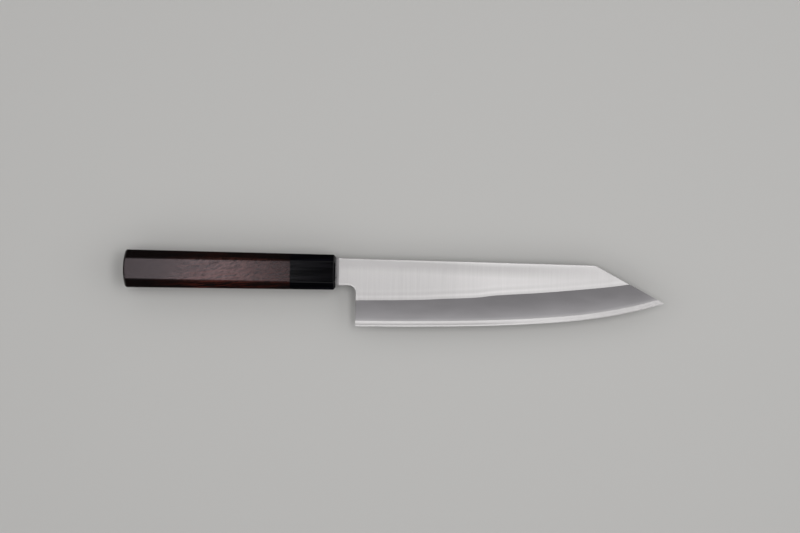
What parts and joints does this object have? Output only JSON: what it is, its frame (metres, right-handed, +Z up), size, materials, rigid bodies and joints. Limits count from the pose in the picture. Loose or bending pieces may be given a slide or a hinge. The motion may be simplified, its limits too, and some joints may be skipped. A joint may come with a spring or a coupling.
{
  "type": "bunka knife",
  "caption": "Kitchen knife with a slanted tip: laminated blade with a wide ground bevel, on a hidden tang set in an octagonal wooden handle with a horn ferrule.",
  "frame": {"origin": "under the middle of the knife's box, on the plane of its lowest face, the handle's lower side flat at the butt", "axes": "+X from the handle's butt to the blade's tip, along the handle's axis; +Y from the edge to the spine; +Z up, out of the blade's right face, so that the knife lies level on its left side"},
  "size_m": [0.3684, 0.0494, 0.0216],
  "materials": {
    "core_steel": "bright, finely ground along the edge",
    "cladding_steel": "satin flats brushed across the blade, hazy grey bevel",
    "rosewood": "dark, oiled, satin",
    "black_horn": "polished",
    "dowel_wood": "raw",
    "bedding_resin": "cured",
    "sealing_compound": "dull"
  },
  "bodies": {
    "root": {"core_steel": "core_steel", "right_cladding": "cladding_steel", "left_cladding": "cladding_steel", "handle_body": "rosewood", "horn_ferrule": "black_horn", "handle_dowel": "dowel_wood", "tang_bedding": "bedding_resin", "mouth_seal": "sealing_compound"}
  },
  "joints": []
}
